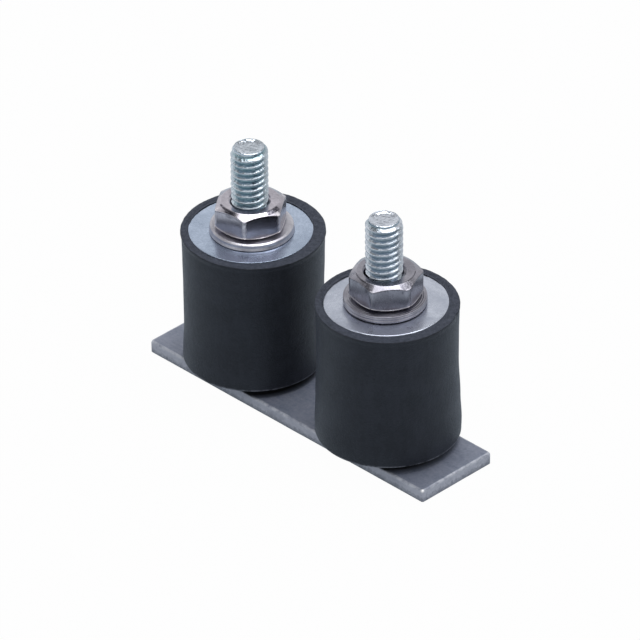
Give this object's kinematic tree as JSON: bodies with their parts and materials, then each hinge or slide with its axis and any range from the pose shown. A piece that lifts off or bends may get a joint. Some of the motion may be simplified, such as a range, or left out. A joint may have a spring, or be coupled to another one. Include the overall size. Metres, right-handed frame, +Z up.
{
  "type": "vibration damper",
  "caption": "Black rubber-metal buffers with threaded studs, flat washers and hexagon nuts, side by side on a narrow flat steel bar, for mounting a small device free of vibration.",
  "frame": {"origin": "centre of the plate's underside", "axes": "+X along the plate, +Z up along the studs, +Y across the plate"},
  "size_m": [0.0408, 0.0153, 0.0283],
  "materials": {
    "plate_steel": "satin grey steel",
    "rubber": "satin moulded rubber",
    "zinc_disc": "satin zinc plate",
    "zinc_thread": "bright zinc plate",
    "washer_steel": "stamped stainless steel",
    "nut_steel": "bright stainless steel"
  },
  "bodies": {
    "root": {"base_plate": "plate_steel", "left_rubber_body": "rubber", "left_top_disc": "zinc_disc", "left_top_stud": "zinc_thread", "left_bottom_disc": "zinc_disc", "left_bottom_stud": "zinc_thread", "left_washer": "washer_steel", "left_nut": "nut_steel", "right_rubber_body": "rubber", "right_top_disc": "zinc_disc", "right_top_stud": "zinc_thread", "right_bottom_disc": "zinc_disc", "right_bottom_stud": "zinc_thread", "right_washer": "washer_steel", "right_nut": "nut_steel"}
  },
  "joints": []
}
